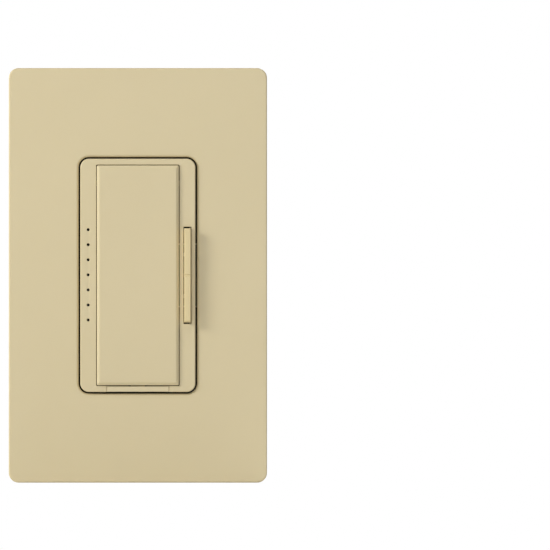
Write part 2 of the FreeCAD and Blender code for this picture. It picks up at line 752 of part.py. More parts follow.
def make_housing():
    body = new_body("rear_housing")
    inside = d.housing_depth - d.housing_wall
    wall_x = d.housing_width / 2 - d.housing_wall
    add(body, "Y", 0, d.housing_depth, centred(d.housing_width, d.housing_height, sized(2.0)))
    hollow = centred(
        d.housing_width - d.housing_wall * 2, d.housing_height - d.housing_wall * 2, sized(0.8)
    )
    cut(body, "Y", 0, inside, hollow)
    for side in (-1, 1):
        for end in (-1, 1):
            centre = (d.corner_screw_x * side, d.corner_screw_z * end)
            add(body, "Y", 0, inside + 0.1, circle(*centre, 3.2))
            cut(body, "Y", d.counterbore_floor, d.housing_depth, circle(*centre, d.counterbore))
            cut(body, "Y", 0, d.counterbore_floor, circle(*centre, 1.3))
    # ledges behind the two boards
    control_back = d.control_front + d.board_thick
    power_back = d.power_front + d.board_thick
    for side in (-1, 1):
        left, right = side_span(side, 18.8, wall_x + 0.1)
        for bottom, top in ((-17.0, -15.5), (23.0, 27.0)):
            add(body, "Y", control_back, control_back + 0.8, rectangle(left, right, bottom, top))
        for bottom, top in ((-26.0, -20.0), (20.0, 26.0)):
            add(body, "Y", power_back, power_back + 1.4, rectangle(left, right, bottom, top))
    for name, side, up in TERMINALS:
        left, right = side_span(side, 17.2, wall_x + 0.1)
        add(body, "Y", 5.2, 14.2, rectangle(left, right, up - 6.0, up + 6.0))
        low, high = side_span(side, 18.6, d.housing_width / 2)
        cut(body, "X", low, high, rectangle(5.7, 13.7, up - 4.1, up + 4.1))
        low, high = side_span(side, 17.1, 18.7)
        cut(body, "X", low, high, circle(d.terminal_y, up, 1.85))
        left, right = side_span(side, 18.5, 19.5)
        cut(body, "Y", 13.6, 14.3, rectangle(left, right, up - 1.7, up + 1.7))
    label = new_body("rating_label")
    add(label, "Y", d.housing_depth, d.housing_depth + 0.12, centred(sized(28.0), sized(40.0), sized(1.0)))


make_faceplate()
make_adapter()
make_bezel()
make_tap_switch()
make_rocker()
make_air_gap_tab()
make_light_pipe()
make_yoke()
make_fasteners()
make_control_side()
make_triac()
make_power_side()
make_terminals()
make_housing()
doc.recompute()

for thing in doc.Objects:
    if "Invalid" in thing.State or "Error" in thing.State:
        raise RuntimeError("%s failed to compute" % thing.Label)
for node in nodes:
    if node.Shape.isNull() or not node.Shape.isValid():
        raise RuntimeError("%s has no valid shape" % node.Label)

os.makedirs("parts", exist_ok=True)
for node in nodes:
    node.Shape.exportStep("parts/%s.step" % node.Label)
    print("%-24s solids %d volume %10.3f" % (node.Label, len(node.Shape.Solids), node.Shape.Volume))
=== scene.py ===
import json
import math

import bmesh
import bpy
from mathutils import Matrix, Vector


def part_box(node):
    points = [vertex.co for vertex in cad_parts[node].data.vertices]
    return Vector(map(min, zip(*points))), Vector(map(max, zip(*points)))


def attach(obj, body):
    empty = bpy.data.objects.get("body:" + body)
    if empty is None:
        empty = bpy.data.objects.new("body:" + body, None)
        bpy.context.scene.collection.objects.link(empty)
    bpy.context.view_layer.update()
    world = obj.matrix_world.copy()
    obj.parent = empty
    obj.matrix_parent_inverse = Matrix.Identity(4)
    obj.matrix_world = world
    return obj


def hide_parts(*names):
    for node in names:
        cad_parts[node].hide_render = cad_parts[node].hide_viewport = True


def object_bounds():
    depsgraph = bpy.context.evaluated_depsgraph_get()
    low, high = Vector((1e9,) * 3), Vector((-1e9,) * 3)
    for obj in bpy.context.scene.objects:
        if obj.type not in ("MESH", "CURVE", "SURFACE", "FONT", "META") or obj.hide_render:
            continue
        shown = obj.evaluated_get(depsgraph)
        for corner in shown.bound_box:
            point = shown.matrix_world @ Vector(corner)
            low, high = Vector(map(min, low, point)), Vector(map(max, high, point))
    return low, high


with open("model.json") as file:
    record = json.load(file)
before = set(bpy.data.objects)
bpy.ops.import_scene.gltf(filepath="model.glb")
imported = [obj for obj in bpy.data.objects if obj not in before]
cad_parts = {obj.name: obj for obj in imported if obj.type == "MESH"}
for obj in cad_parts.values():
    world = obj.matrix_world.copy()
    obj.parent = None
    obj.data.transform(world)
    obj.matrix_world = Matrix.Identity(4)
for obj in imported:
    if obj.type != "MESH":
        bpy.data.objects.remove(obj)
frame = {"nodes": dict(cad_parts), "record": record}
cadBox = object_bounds()
mm = 0.001
tiny = 1e-7  # metres: points nearer than this are one point


def boxOf(node):
    low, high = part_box(node)
    return low, high, (low + high) / 2


# outlines and solids

def roundedOutline(left, right, bottom, top, radius, steps=8):
    # counter-clockwise from the lower right corner, as (x, z)
    corners = [(right - radius, bottom + radius), (right - radius, top - radius),
               (left + radius, top - radius), (left + radius, bottom + radius)]
    points = []
    for index, (cx, cz) in enumerate(corners):
        for step in range(steps + 1):
            turn = (index - 1 + step / steps) * math.pi / 2
            points.append((cx + radius * math.cos(turn), cz + radius * math.sin(turn)))
    return points


def circleOutline(cx, cz, radius, steps=24):
    turns = [2 * math.pi * i / steps for i in range(steps)]
    return [(cx + radius * math.cos(turn), cz + radius * math.sin(turn)) for turn in turns]


def quarterTurn(steps):
    # 0 to 1 along and across a rounded edge
    turns = [i / steps * math.pi / 2 for i in range(steps + 1)]
    return [(1 - math.cos(turn), math.sin(turn)) for turn in turns]


def ringVerts(bm, rings):
    return [[bm.verts.new((x, y, z)) for x, z in points] for points, y in rings]


def joinRings(bm, made):
    # a band of faces between each ring of points and the next
    count = len(made[0])
    for first, second in zip(made, made[1:]):
        for i in range(count):
            j = (i + 1) % count
            bm.faces.new((first[i], second[i], second[j], first[j]))


def addRings(bm, rings):
    # rings of (outline points, y), every outline with the same count, joined in order and back to the first
    made = ringVerts(bm, rings)
    joinRings(bm, [*made, made[0]])


def pourInto(bm, part):
    # adds the part's mesh to bm and lets the part go
    mesh = bpy.data.meshes.new("part")
    part.to_mesh(mesh)
    part.free()
    bm.from_mesh(mesh)
    bpy.data.meshes.remove(mesh)


def addSlab(bm, outlines, front, back, soften=()):
    # a plate with openings: the first outline is the rim and the others are holes.
    # soften lists (size, test) pairs: front edges whose middle passes the test are rounded
    edges = []
    slab = bmesh.new()
    for outline in outlines:
        verts = [slab.verts.new((x, front, z)) for x, z in outline]
        for i, vert in enumerate(verts):
            edges.append(slab.edges.new((vert, verts[(i + 1) % len(verts)])))
    bmesh.ops.triangle_fill(slab, use_beauty=True, use_dissolve=False, edges=edges)
    extruded = bmesh.ops.extrude_face_region(slab, geom=list(slab.faces), use_keep_orig=True)
    moved = [part for part in extruded["geom"] if isinstance(part, bmesh.types.BMVert)]
    bmesh.ops.translate(slab, verts=moved, vec=(0, back - front, 0))
    bmesh.ops.recalc_face_normals(slab, faces=list(slab.faces))
    for size, test in soften:
        chosen = [edge for edge in slab.edges
                  if all(abs(vert.co.y - front) < tiny for vert in edge.verts)
                  and any(abs(face.normal.y) < 0.3 for face in edge.link_faces)
                  and test((edge.verts[0].co + edge.verts[1].co) / 2)]
        bmesh.ops.bevel(slab, geom=chosen, offset=size, segments=3, profile=0.5, affect="EDGES",
                        clamp_overlap=False)
    pourInto(bm, slab)


def addTurned(bm, profile, centre, axis, steps=32):
    # turns (along, radius) points round an axis through centre
    rings = []
    for along, radius in profile:
        circle = circleOutline(*centre, radius, steps)
        places = [(along, a, b) if axis == "X" else (a, along, b) for a, b in circle]
        rings.append([bm.verts.new(place) for place in places])
    joinRings(bm, rings)
    bm.faces.new(rings[0])
    bm.faces.new(list(reversed(rings[-1])))


def addToScene(name, data):
    thing = bpy.data.objects.new(name, data)
    bpy.context.scene.collection.objects.link(thing)
    return thing


def carved(bm, cutter):
    # bm less the cutter, by an exact boolean
    pair = []
    for name, shape in (("base", bm), ("cutter", cutter)):
        bmesh.ops.recalc_face_normals(shape, faces=list(shape.faces))
        mesh = bpy.data.meshes.new(name)
        shape.to_mesh(mesh)
        shape.free()
        pair.append(addToScene(name, mesh))
    base, tool = pair
    cut = base.modifiers.new("cut", "BOOLEAN")
    cut.operation = "DIFFERENCE"
    cut.solver = "EXACT"
    cut.object = tool
    result = bpy.data.meshes.new_from_object(base.evaluated_get(bpy.context.evaluated_depsgraph_get()))
    made = bmesh.new()
    made.from_mesh(result)
    for thing in pair:
        mesh = thing.data
        bpy.data.objects.remove(thing)
        bpy.data.meshes.remove(mesh)
    bpy.data.meshes.remove(result)
    return made


def finishPiece(bm, name, body, slotName, replaced, sharpDegrees=40):
    bmesh.ops.remove_doubles(bm, verts=list(bm.verts), dist=tiny)
    bmesh.ops.recalc_face_normals(bm, faces=list(bm.faces))
    mesh = bpy.data.meshes.new(name)
    bm.to_mesh(mesh)
    bm.free()
    mesh.shade_smooth()
    mesh.set_sharp_from_angle(angle=math.radians(sharpDegrees))
    piece = addToScene(name, mesh)
    mesh.materials.append(finishes[slotName])
    even = piece.modifiers.new("evenNormals", "WEIGHTED_NORMAL")
    even.keep_sharp = True
    even.weight = 100
    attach(piece, body)
    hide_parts(*replaced)


# shared shader groups

def newGroup(name, inputs, outputs):
    group = bpy.data.node_groups.new(name, "ShaderNodeTree")
    for label, value in inputs:
        socket = group.interface.new_socket(label, in_out="INPUT", socket_type="NodeSocketFloat")
        socket.default_value = value
    for label in outputs:
        group.interface.new_socket(label, in_out="OUTPUT", socket_type="NodeSocketFloat")
    return group, group.nodes.new("NodeGroupInput"), group.nodes.new("NodeGroupOutput")


def noiseNode(nodes, detail=4.0, roughness=0.5):
    noise = nodes.new("ShaderNodeTexNoise")
    noise.inputs["Detail"].default_value = detail
    noise.inputs["Roughness"].default_value = roughness
    return noise


def mathNode(nodes, kind, value=None):
    node = nodes.new("ShaderNodeMath")
    node.operation = kind
    if value is not None:
        node.inputs[1].default_value = value
    return node


def makeMouldGrain():
    # the fine spark-eroded texture of a moulding tool: a cell pattern broken up by noise
    group, entry, out = newGroup("mouldGrain", [("Scale", 6000.0)], ["Height", "Mask"])
    nodes, links = group.nodes, group.links
    place = nodes.new("ShaderNodeTexCoord")
    cells = nodes.new("ShaderNodeTexVoronoi")
    cells.feature = "SMOOTH_F1"
    fine = noiseNode(nodes, 3.0, 0.6)
    links.new(place.outputs["Object"], cells.inputs["Vector"])
    links.new(place.outputs["Object"], fine.inputs["Vector"])
    links.new(entry.outputs["Scale"], cells.inputs["Scale"])
    links.new(entry.outputs["Scale"], fine.inputs["Scale"])
    blend = mathNode(nodes, "MULTIPLY")
    links.new(cells.outputs["Distance"], blend.inputs[0])
    links.new(fine.outputs["Fac"], blend.inputs[1])
    links.new(blend.outputs[0], out.inputs["Height"])
    links.new(fine.outputs["Fac"], out.inputs["Mask"])
    return group


def makeMottle():
    # slow, cloudy variation of tone in the resin
    group, entry, out = newGroup("mottle", [("Scale", 60.0), ("Low", 0.0), ("High", 1.0)], ["Factor"])
    nodes, links = group.nodes, group.links
    place = nodes.new("ShaderNodeTexCoord")
    clouds = noiseNode(nodes, 5.0, 0.55)
    spread = nodes.new("ShaderNodeMapRange")
    spread.inputs["From Min"].default_value = 0.3
    spread.inputs["From Max"].default_value = 0.7
    links.new(place.outputs["Object"], clouds.inputs["Vector"])
    links.new(entry.outputs["Scale"], clouds.inputs["Scale"])
    links.new(clouds.outputs["Fac"], spread.inputs["Value"])
    links.new(entry.outputs["Low"], spread.inputs["To Min"])
    links.new(entry.outputs["High"], spread.inputs["To Max"])
    links.new(spread.outputs["Result"], out.inputs["Factor"])
    return group


def makeEdgeWear():
    # convex edges, broken up by noise
    group, entry, out = newGroup("edgeWear", [("Reach", 0.55), ("Scale", 400.0)], ["Mask"])
    nodes, links = group.nodes, group.links
    place = nodes.new("ShaderNodeTexCoord")
    shape = nodes.new("ShaderNodeNewGeometry")
    ramp = nodes.new("ShaderNodeMapRange")
    ramp.inputs["From Max"].default_value = 0.75
    rub = noiseNode(nodes, 4.0, 0.6)
    both = mathNode(nodes, "MULTIPLY")
    links.new(place.outputs["Object"], rub.inputs["Vector"])
    links.new(entry.outputs["Scale"], rub.inputs["Scale"])
    links.new(shape.outputs["Pointiness"], ramp.inputs["Value"])
    links.new(entry.outputs["Reach"], ramp.inputs["From Min"])
    links.new(ramp.outputs["Result"], both.inputs[0])
    links.new(rub.outputs["Fac"], both.inputs[1])
    links.new(both.outputs[0], out.inputs["Mask"])
    return group


def makeBrushed():
    # fine lines along the strip's length
    group, entry, out = newGroup("brushed", [("Across", 9000.0), ("Along", 60.0)], ["Height", "Mask"])
    nodes, links = group.nodes, group.links
    place = nodes.new("ShaderNodeTexCoord")
    stretch = nodes.new("ShaderNodeCombineXYZ")
    scale = nodes.new("ShaderNodeVectorMath")
    scale.operation = "MULTIPLY"
    lines = noiseNode(nodes, 2.0, 0.7)
    lines.inputs["Scale"].default_value = 1.0
    links.new(entry.outputs["Across"], stretch.inputs["X"])
    links.new(entry.outputs["Across"], stretch.inputs["Y"])
    links.new(entry.outputs["Along"], stretch.inputs["Z"])
    links.new(place.outputs["Object"], scale.inputs[0])
    links.new(stretch.outputs["Vector"], scale.inputs[1])
    links.new(scale.outputs["Vector"], lines.inputs["Vector"])
    links.new(lines.outputs["Fac"], out.inputs["Height"])
    links.new(lines.outputs["Fac"], out.inputs["Mask"])
    return group


shared = {"grain": makeMouldGrain(), "mottle": makeMottle(), "wear": makeEdgeWear(), "brushed": makeBrushed()}


def useGroup(nodes, name, **values):
    node = nodes.new("ShaderNodeGroup")
    node.node_tree = shared[name]
    for label, value in values.items():
        node.inputs[label].default_value = value
    return node


# what a look has when it says nothing else, and each pattern's scale
plainLook = {"sockets": {}, "mottleScale": 60.0, "wearReach": 0.56, "pattern": "grain", "bump": 0.15,
             "bumpDepth": 0.02}
patterns = {"grain": ("Scale", 6000.0), "brushed": ("Across", 9000.0)}


def makeFinish(name, look):
    # colour from two tones and wear, roughness from the pattern, and the pattern as bump
    look = {**plainLook, **look}
    material = bpy.data.materials.new(name)
    material.use_nodes = True
    nodes, links = material.node_tree.nodes, material.node_tree.links
    shader = nodes["Principled BSDF"]
    for socket, value in look["sockets"].items():
        shader.inputs[socket].default_value = value
    mottle = useGroup(nodes, "mottle", Scale=look["mottleScale"])
    tones = nodes.new("ShaderNodeMix")
    tones.data_type = "RGBA"
    tones.inputs["A"].default_value = (*look["tone"], 1)
    tones.inputs["B"].default_value = (*look["otherTone"], 1)
    links.new(mottle.outputs["Factor"], tones.inputs["Factor"])
    wear = useGroup(nodes, "wear", Reach=look["wearReach"])
    worn = nodes.new("ShaderNodeMix")
    worn.data_type = "RGBA"
    worn.inputs["B"].default_value = (*look.get("wornTone", look["tone"]), 1)
    links.new(wear.outputs["Mask"], worn.inputs["Factor"])
    links.new(tones.outputs["Result"], worn.inputs["A"])
    links.new(worn.outputs["Result"], shader.inputs["Base Color"])
    label, usual = patterns[look["pattern"]]
    texture = useGroup(nodes, look["pattern"], **{label: look.get("grainScale", usual)})
    gloss = nodes.new("ShaderNodeMapRange")
    gloss.inputs["To Min"].default_value = look["roughness"][0]
    gloss.inputs["To Max"].default_value = look["roughness"][1]
    links.new(texture.outputs["Mask"], gloss.inputs["Value"])
    links.new(gloss.outputs["Result"], shader.inputs["Roughness"])
    bump = nodes.new("ShaderNodeBump")
    bump.inputs["Strength"].default_value = look["bump"]
    bump.inputs["Distance"].default_value = look["bumpDepth"] * mm
    links.new(texture.outputs["Height"], bump.inputs["Height"])
    links.new(bump.outputs["Normal"], shader.inputs["Normal"])
    return material


ivoryLook = {
    "tone": (0.632, 0.540, 0.330), "otherTone": (0.642, 0.549, 0.338), "wornTone": (0.70, 0.61, 0.40),
    "mottleScale": 45.0, "roughness": (0.36, 0.46), "grainScale": 5200.0, "bump": 0.12, "bumpDepth": 0.015,
    "sockets": {"IOR": 1.5, "Subsurface Weight": 0.06, "Subsurface Scale": 0.0006,
                "Subsurface Radius": (1.0, 0.7, 0.35)},
}
rockerLook = dict(ivoryLook, tone=(0.675, 0.556, 0.302), otherTone=(0.685, 0.565, 0.310))

finishLooks = {
    "ivory_cover": ivoryLook,
    "ivory_rocker": rockerLook,
    "adapter_plastic": dict(ivoryLook, tone=(0.60, 0.52, 0.33), otherTone=(0.57, 0.49, 0.31),
                            roughness=(0.5, 0.62), bump=0.25),
    # yoke: black anodised aluminium, with a warm brown tint that is painted shade: it gives the narrow gaps
    # in front of the yoke the brownish colour of their shade
    "yoke_metal": {"tone": (0.015, 0.012, 0.009), "otherTone": (0.021, 0.017, 0.013),
                   "pattern": "brushed", "roughness": (0.34, 0.52), "bump": 0.2,
                   "bumpDepth": 0.01, "sockets": {"Metallic": 0.35}},
    "screw_steel": {"tone": (0.66, 0.66, 0.67), "otherTone": (0.56, 0.57, 0.60),
                    "wornTone": (0.85, 0.85, 0.84), "mottleScale": 500.0, "roughness": (0.22, 0.38),
                    "bump": 0.12, "sockets": {"Metallic": 1.0}},
    "fibre": {"tone": (0.42, 0.13, 0.06), "otherTone": (0.30, 0.09, 0.045), "mottleScale": 900.0,
              "roughness": (0.7, 0.85), "grainScale": 7000.0, "bump": 0.5, "bumpDepth": 0.03},
    "green_steel": {"tone": (0.03, 0.26, 0.07), "otherTone": (0.02, 0.20, 0.06),
                    "wornTone": (0.35, 0.4, 0.3), "mottleScale": 300.0, "roughness": (0.25, 0.4),
                    "bump": 0.1, "sockets": {"Metallic": 0.6}},
    "insulation": {"tone": (0.62, 0.58, 0.45), "otherTone": (0.56, 0.52, 0.40), "mottleScale": 200.0,
                   "roughness": (0.7, 0.85), "bump": 0.4},
    "board_green": {"tone": (0.015, 0.16, 0.05), "otherTone": (0.02, 0.20, 0.07), "mottleScale": 150.0,
                    "roughness": (0.28, 0.4), "bump": 0.1},
    "lamp_body": {"tone": (0.85, 0.82, 0.70), "otherTone": (0.80, 0.77, 0.66), "roughness": (0.25, 0.35)},
    "key_body": {"tone": (0.03, 0.03, 0.032), "otherTone": (0.04, 0.04, 0.043), "roughness": (0.4, 0.55)},
    "plunger_plastic": {"tone": (0.7, 0.7, 0.68), "otherTone": (0.66, 0.66, 0.63), "roughness": (0.35, 0.5)},
    "pad_rubber": {"tone": (0.45, 0.5, 0.52), "otherTone": (0.4, 0.45, 0.48), "roughness": (0.7, 0.85)},
    "ferrite": {"tone": (0.06, 0.065, 0.07), "otherTone": (0.08, 0.085, 0.09), "roughness": (0.4, 0.55)},
    "copper_wire": {"tone": (0.60, 0.24, 0.08), "otherTone": (0.5, 0.19, 0.06), "roughness": (0.25, 0.4),
                    "pattern": "brushed", "grainScale": 1500.0, "bump": 0.8, "bumpDepth": 0.2,
                    "sockets": {"Metallic": 1.0}},
    "capacitor_box": {"tone": (0.38, 0.26, 0.04), "otherTone": (0.34, 0.23, 0.035), "roughness": (0.3, 0.42)},
    "capacitor_sleeve": {"tone": (0.02, 0.025, 0.08), "otherTone": (0.03, 0.035, 0.1),
                         "roughness": (0.2, 0.35)},
    "varistor_coat": {"tone": (0.03, 0.09, 0.32), "otherTone": (0.035, 0.1, 0.36), "roughness": (0.35, 0.5)},
    "fuse_body": {"tone": (0.7, 0.68, 0.62), "otherTone": (0.66, 0.64, 0.6), "roughness": (0.25, 0.35)},
    "resistor_body": {"tone": (0.2, 0.33, 0.36), "otherTone": (0.18, 0.3, 0.33), "roughness": (0.35, 0.5)},
    "contact_brass": {"tone": (0.46, 0.29, 0.11), "otherTone": (0.38, 0.24, 0.09),
                      "wornTone": (0.8, 0.58, 0.28), "pattern": "brushed", "roughness": (0.25, 0.42),
                      "sockets": {"Metallic": 1.0}},
    "screw_black": {"tone": (0.02, 0.02, 0.022), "otherTone": (0.035, 0.035, 0.038),
                    "wornTone": (0.25, 0.25, 0.25), "mottleScale": 400.0, "roughness": (0.3, 0.45),
                    "sockets": {"Metallic": 0.5}},
    "screw_brass": {"tone": (0.80, 0.58, 0.22), "otherTone": (0.70, 0.48, 0.17),
                    "wornTone": (0.95, 0.8, 0.45), "mottleScale": 400.0, "roughness": (0.18, 0.32),
                    "sockets": {"Metallic": 1.0}},
    "screw_blue": {"tone": (0.03, 0.09, 0.35), "otherTone": (0.025, 0.07, 0.28),
                   "wornTone": (0.4, 0.42, 0.45), "mottleScale": 400.0, "roughness": (0.25, 0.4),
                   "sockets": {"Metallic": 0.5}},
    "housing_black": {"tone": (0.018, 0.018, 0.019), "otherTone": (0.026, 0.026, 0.027),
                      "mottleScale": 80.0, "roughness": (0.42, 0.6), "grainScale": 3200.0, "bump": 0.35,
                      "bumpDepth": 0.03},
    "label_paper": {"tone": (0.78, 0.78, 0.75), "otherTone": (0.72, 0.72, 0.69), "mottleScale": 300.0,
                    "roughness": (0.5, 0.62), "bump": 0.2},
}
finishes = {name: makeFinish(name + "Finish", look) for name, look in finishLooks.items()}


def makeClear():
    # smoky moulded acrylic, dark in its depth
    material = bpy.data.materials.new("clearPipeFinish")
    material.use_nodes = True
    nodes, links = material.node_tree.nodes, material.node_tree.links
    shader = nodes["Principled BSDF"]
    shader.inputs["IOR"].default_value = 1.49
    shader.inputs["Transmission Weight"].default_value = 0.35
    shader.inputs["Specular IOR Level"].default_value = 0.12
    mottle = useGroup(nodes, "mottle", Scale=200.0, Low=0.10, High=0.2)
    tint = nodes.new("ShaderNodeMix")
    tint.data_type = "RGBA"
    tint.inputs["A"].default_value = (0.03, 0.026, 0.02, 1)
    tint.inputs["B"].default_value = (0.05, 0.044, 0.035, 1)
    links.new(mottle.outputs["Factor"], tint.inputs["Factor"])
    links.new(tint.outputs["Result"], shader.inputs["Base Color"])
    links.new(mottle.outputs["Factor"], shader.inputs["Roughness"])
    return material


finishes["clear_pipe"] = makeClear()
slotOf = {part["node"]: part["material_slot"] for part in frame["record"]["subparts"]}
for node, slotName in slotOf.items():
    for place in frame["nodes"][node].material_slots:
        place.material = finishes[slotName]
print("finishes given to", len(frame["nodes"]), "nodes")


# faceplate

faceplate = {"skin": 2.4 * mm, "wall": 1.6 * mm, "corner": 2.85 * mm, "leastCorner": 0.3 * mm,
             "edge": 0.42 * mm, "windowEdge": 0.75 * mm, "windowWide": 34.07 * mm,
             "windowHigh": 68.09 * mm, "windowCorner": 2.95 * mm, "rim": 1.2 * mm,
             "rimDeep": 1.0 * mm, "sideStart": 1.4, "flatStart": 0.6 * mm, "steps": 6,
             "ribX": 20.0 * mm, "ribWide": 8.0 * mm, "ribProud": 0.35 * mm, "ribBack": -2.0 * mm,
             "ribCorner": 0.12 * mm, "ribSunk": 0.1 * mm, "notchWide": 8.0 * mm, "notchDeep": 1.4 * mm,
             "notchCorner": 0.4 * mm}


def makeFaceplate():
    low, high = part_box("faceplate")
    front, wide, tall = low.y, high.x, high.z
    edge, lip = faceplate["edge"], faceplate["windowEdge"]
    windowX, windowZ = faceplate["windowWide"] / 2, faceplate["windowHigh"] / 2

    def outer(inset):
        radius = max(faceplate["corner"] - inset, faceplate["leastCorner"])
        return roundedOutline(-wide + inset, wide - inset, -tall + inset, tall - inset, radius)

    def window(growth):
        return roundedOutline(-windowX - growth, windowX + growth, -windowZ - growth, windowZ + growth,
                              faceplate["windowCorner"] + growth)

    rings = [(outer(0), high.y), (outer(0), front + edge * faceplate["sideStart"])]
    for along, across in quarterTurn(faceplate["steps"]):
        rings.append((outer(along * edge), front + edge * (1 - across)))
    rings.append((outer(edge + faceplate["flatStart"]), front))
    rings.append((window(lip + faceplate["flatStart"]), front))
    for along, across in reversed(quarterTurn(faceplate["steps"])):
        rings.append((window(along * lip), front + lip * (1 - across)))
    inside = front + faceplate["skin"]
    rimBack = inside + faceplate["rimDeep"]
    rings.append((window(0), rimBack))
    rings.append((window(faceplate["rim"]), rimBack))
    rings.append((window(faceplate["rim"]), inside))
    rings.append((outer(faceplate["wall"]), inside))
    rings.append((outer(faceplate["wall"]), high.y))
    bm = bmesh.new()
    addRings(bm, rings)
    # the pry notch in the bottom rim
    notch = bmesh.new()
    half = faceplate["notchWide"] / 2
    blade = roundedOutline(-half, half, low.z - mm, low.z + faceplate["wall"] + mm,
                           faceplate["notchCorner"], steps=3)
    addSlab(notch, [blade], high.y - faceplate["notchDeep"], high.y + mm)
    bm = carved(bm, notch)
    # ribs that grip the adapter's top and bottom edges
    wallZ, sunk = tall - faceplate["wall"], faceplate["ribSunk"]
    for side in (-1, 1):
        for end in (-1, 1):
            near, far = sorted((end * (wallZ - faceplate["ribProud"]), end * (wallZ + sunk)))
            left, right = [side * faceplate["ribX"] + share * faceplate["ribWide"] for share in (-0.5, 0.5)]
            rib = roundedOutline(left, right, near, far, faceplate["ribCorner"], steps=3)
            addSlab(bm, [rib], inside - sunk, faceplate["ribBack"])
    finishPiece(bm, "faceplateCover", "faceplate", "ivory_cover", ["faceplate"])


makeFaceplate()
print("faceplate made")


# bezel

bezel = {"skin": 1.8 * mm, "wall": 1.68 * mm, "corner": 2.5 * mm, "cornerReach": 1.5, "rimBand": 0.1 * mm,
         "rimEdge": 0.3 * mm, "innerCorner": 1.0 * mm, "openingEdge": 0.1 * mm, "openingGap": 0.18 * mm,
         "openingCorner": 0.3 * mm, "slotSide": 0.15 * mm, "slotEnd": 0.42 * mm, "slotCorner": 0.15 * mm,
         "lampHole": 0.42 * mm, "lampInset": 0.1 * mm, "lampPitch": 4.337 * mm, "notchGap": 0.1 * mm,
         "notchFloor": -3.2 * mm, "webBack": -3.0 * mm, "webHalf": 15.5 * mm, "webCorner": 0.1 * mm,
         "bossRadius": 2.0 * mm, "bossBore": 1.1 * mm, "bossX": 14.2 * mm, "bossZ": 31.0 * mm,
         "stemX": 2.7 * mm, "stemZ": -33.15 * mm, "earX": (12.2 * mm, 14.0 * mm),
         "earZ": (24.5 * mm, 28.5 * mm), "lap": 0.05 * mm}
tapWidth = 23.65 * mm
rockerWidth = 1.93 * mm


def makeBezel():
    low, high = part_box("bezel")
    wide, tall, front, back = high.x, high.z, low.y, high.y
    inside = front + bezel["skin"]
    openX = tapWidth / 2 + bezel["openingGap"]
    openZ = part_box("tap_switch")[1].z + bezel["openingGap"]
    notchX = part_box("air_gap_tab")[1].x + bezel["notchGap"]
    rockHigh, rockMiddle = boxOf("level_rocker")[1:]
    slotLeft = rockMiddle.x - rockerWidth / 2 - bezel["slotSide"]
    slotRight = rockMiddle.x + rockerWidth / 2 + bezel["slotSide"]
    slotTop = rockHigh.z + bezel["slotEnd"]
    lamp = boxOf("level_lamp_4")[2]
    wallX, wallZ = wide - bezel["wall"], tall - bezel["wall"]

    # the front skin: its rim runs through the tab's notch into the tap switch's opening
    rim = roundedOutline(-wide, wide, -tall, tall, bezel["corner"], steps=10)
    opening = list(reversed(roundedOutline(-openX, openX, -openZ, openZ, bezel["openingCorner"], steps=3)))
    outline = [(notchX, -tall), *rim, (-notchX, -tall), (-notchX, -openZ), *opening, (notchX, -openZ)]
    slot = roundedOutline(slotLeft, slotRight, -slotTop, slotTop, bezel["slotCorner"], steps=4)
    lampX, pitch = lamp.x - bezel["lampInset"], bezel["lampPitch"]
    lamps = [circleOutline(lampX, lamp.z + pitch * i, bezel["lampHole"]) for i in range(-3, 4)]

    def onRim(point):
        # at the sides or the ends, with a wider reach beside the corners
        across, up = abs(point.x), abs(point.z)
        corner, band = bezel["cornerReach"] * bezel["corner"], bezel["rimBand"]
        reach = corner if up > tall - corner else 0
        return across > wide - reach - band or up > tall - band

    bm = bmesh.new()
    addSlab(bm, [outline, slot, *lamps], front, inside,
            [(bezel["rimEdge"], onRim), (bezel["openingEdge"], lambda point: not onRim(point))])

    # the walls: open at the notch down to its floor, then closed but for the tab's stem
    inner = roundedOutline(-wallX, wallX, -wallZ, wallZ, bezel["innerCorner"])
    walls = [(notchX, -tall), *rim, (-notchX, -tall), (-notchX, -wallZ), *reversed(inner), (notchX, -wallZ)]
    joint = inside - bezel["lap"]
    addSlab(bm, [walls], joint, bezel["notchFloor"])
    stem = [(-bezel["stemX"], -wallZ), (-bezel["stemX"], bezel["stemZ"]), (bezel["stemX"], bezel["stemZ"]),
            (bezel["stemX"], -wallZ)]
    addSlab(bm, [rim, stem + inner], bezel["notchFloor"] - bezel["lap"], back)

    # webs beside the rocker, ears for the tap switch's pivots and bored posts for the screws
    half, corner = bezel["webHalf"], bezel["webCorner"]
    addSlab(bm, [roundedOutline(openX, slotLeft, -half, half, corner, steps=2)], joint, bezel["webBack"])
    for side in (-1, 1):
        near, far = sorted(side * place for place in bezel["earX"])
        addSlab(bm, [roundedOutline(near, far, *bezel["earZ"], corner, steps=2)], joint, bezel["webBack"])
        for end in (-1, 1):
            centre = (side * bezel["bossX"], end * bezel["bossZ"])
            rings = [circleOutline(*centre, radius) for radius in (bezel["bossRadius"], bezel["bossBore"])]
            addSlab(bm, rings, joint, back)
    finishPiece(bm, "bezelFrame", "device", "ivory_cover", ["bezel"])


makeBezel()
print("bezel made")


# tap switch

# the paddle's edge is a soft slope all round: how far in from the side and how far back, in millimetres
tapSwitch = {"skin": 1.8 * mm, "wall": 1.45 * mm, "back": -5.4 * mm, "corner": 0.35 * mm,
             "edge": [(0, 0.64), (0.03, 0.52), (0.10, 0.43), (0.26, 0.34), (0.50, 0.18), (0.70, 0.06),
                      (0.88, 0.012), (1.2, 0)],
             "middleStrip": 1.0 * mm, "stripCorner": 0.4 * mm, "cavityCorner": 0.3 * mm,
             "pivotY": -5.2 * mm, "pivotZ": 26.5 * mm, "pinRadius": 0.8 * mm, "pinEnd": 13.3 * mm,
             "pinSunk": 0.2 * mm, "lugHalf": 2.0 * mm, "lugBack": -4.0 * mm, "lugCorner": 0.2 * mm,
             "postRadius": 1.6 * mm, "postZ": 10.5 * mm, "postSunk": 0.2 * mm, "postTip": 0.2 * mm}


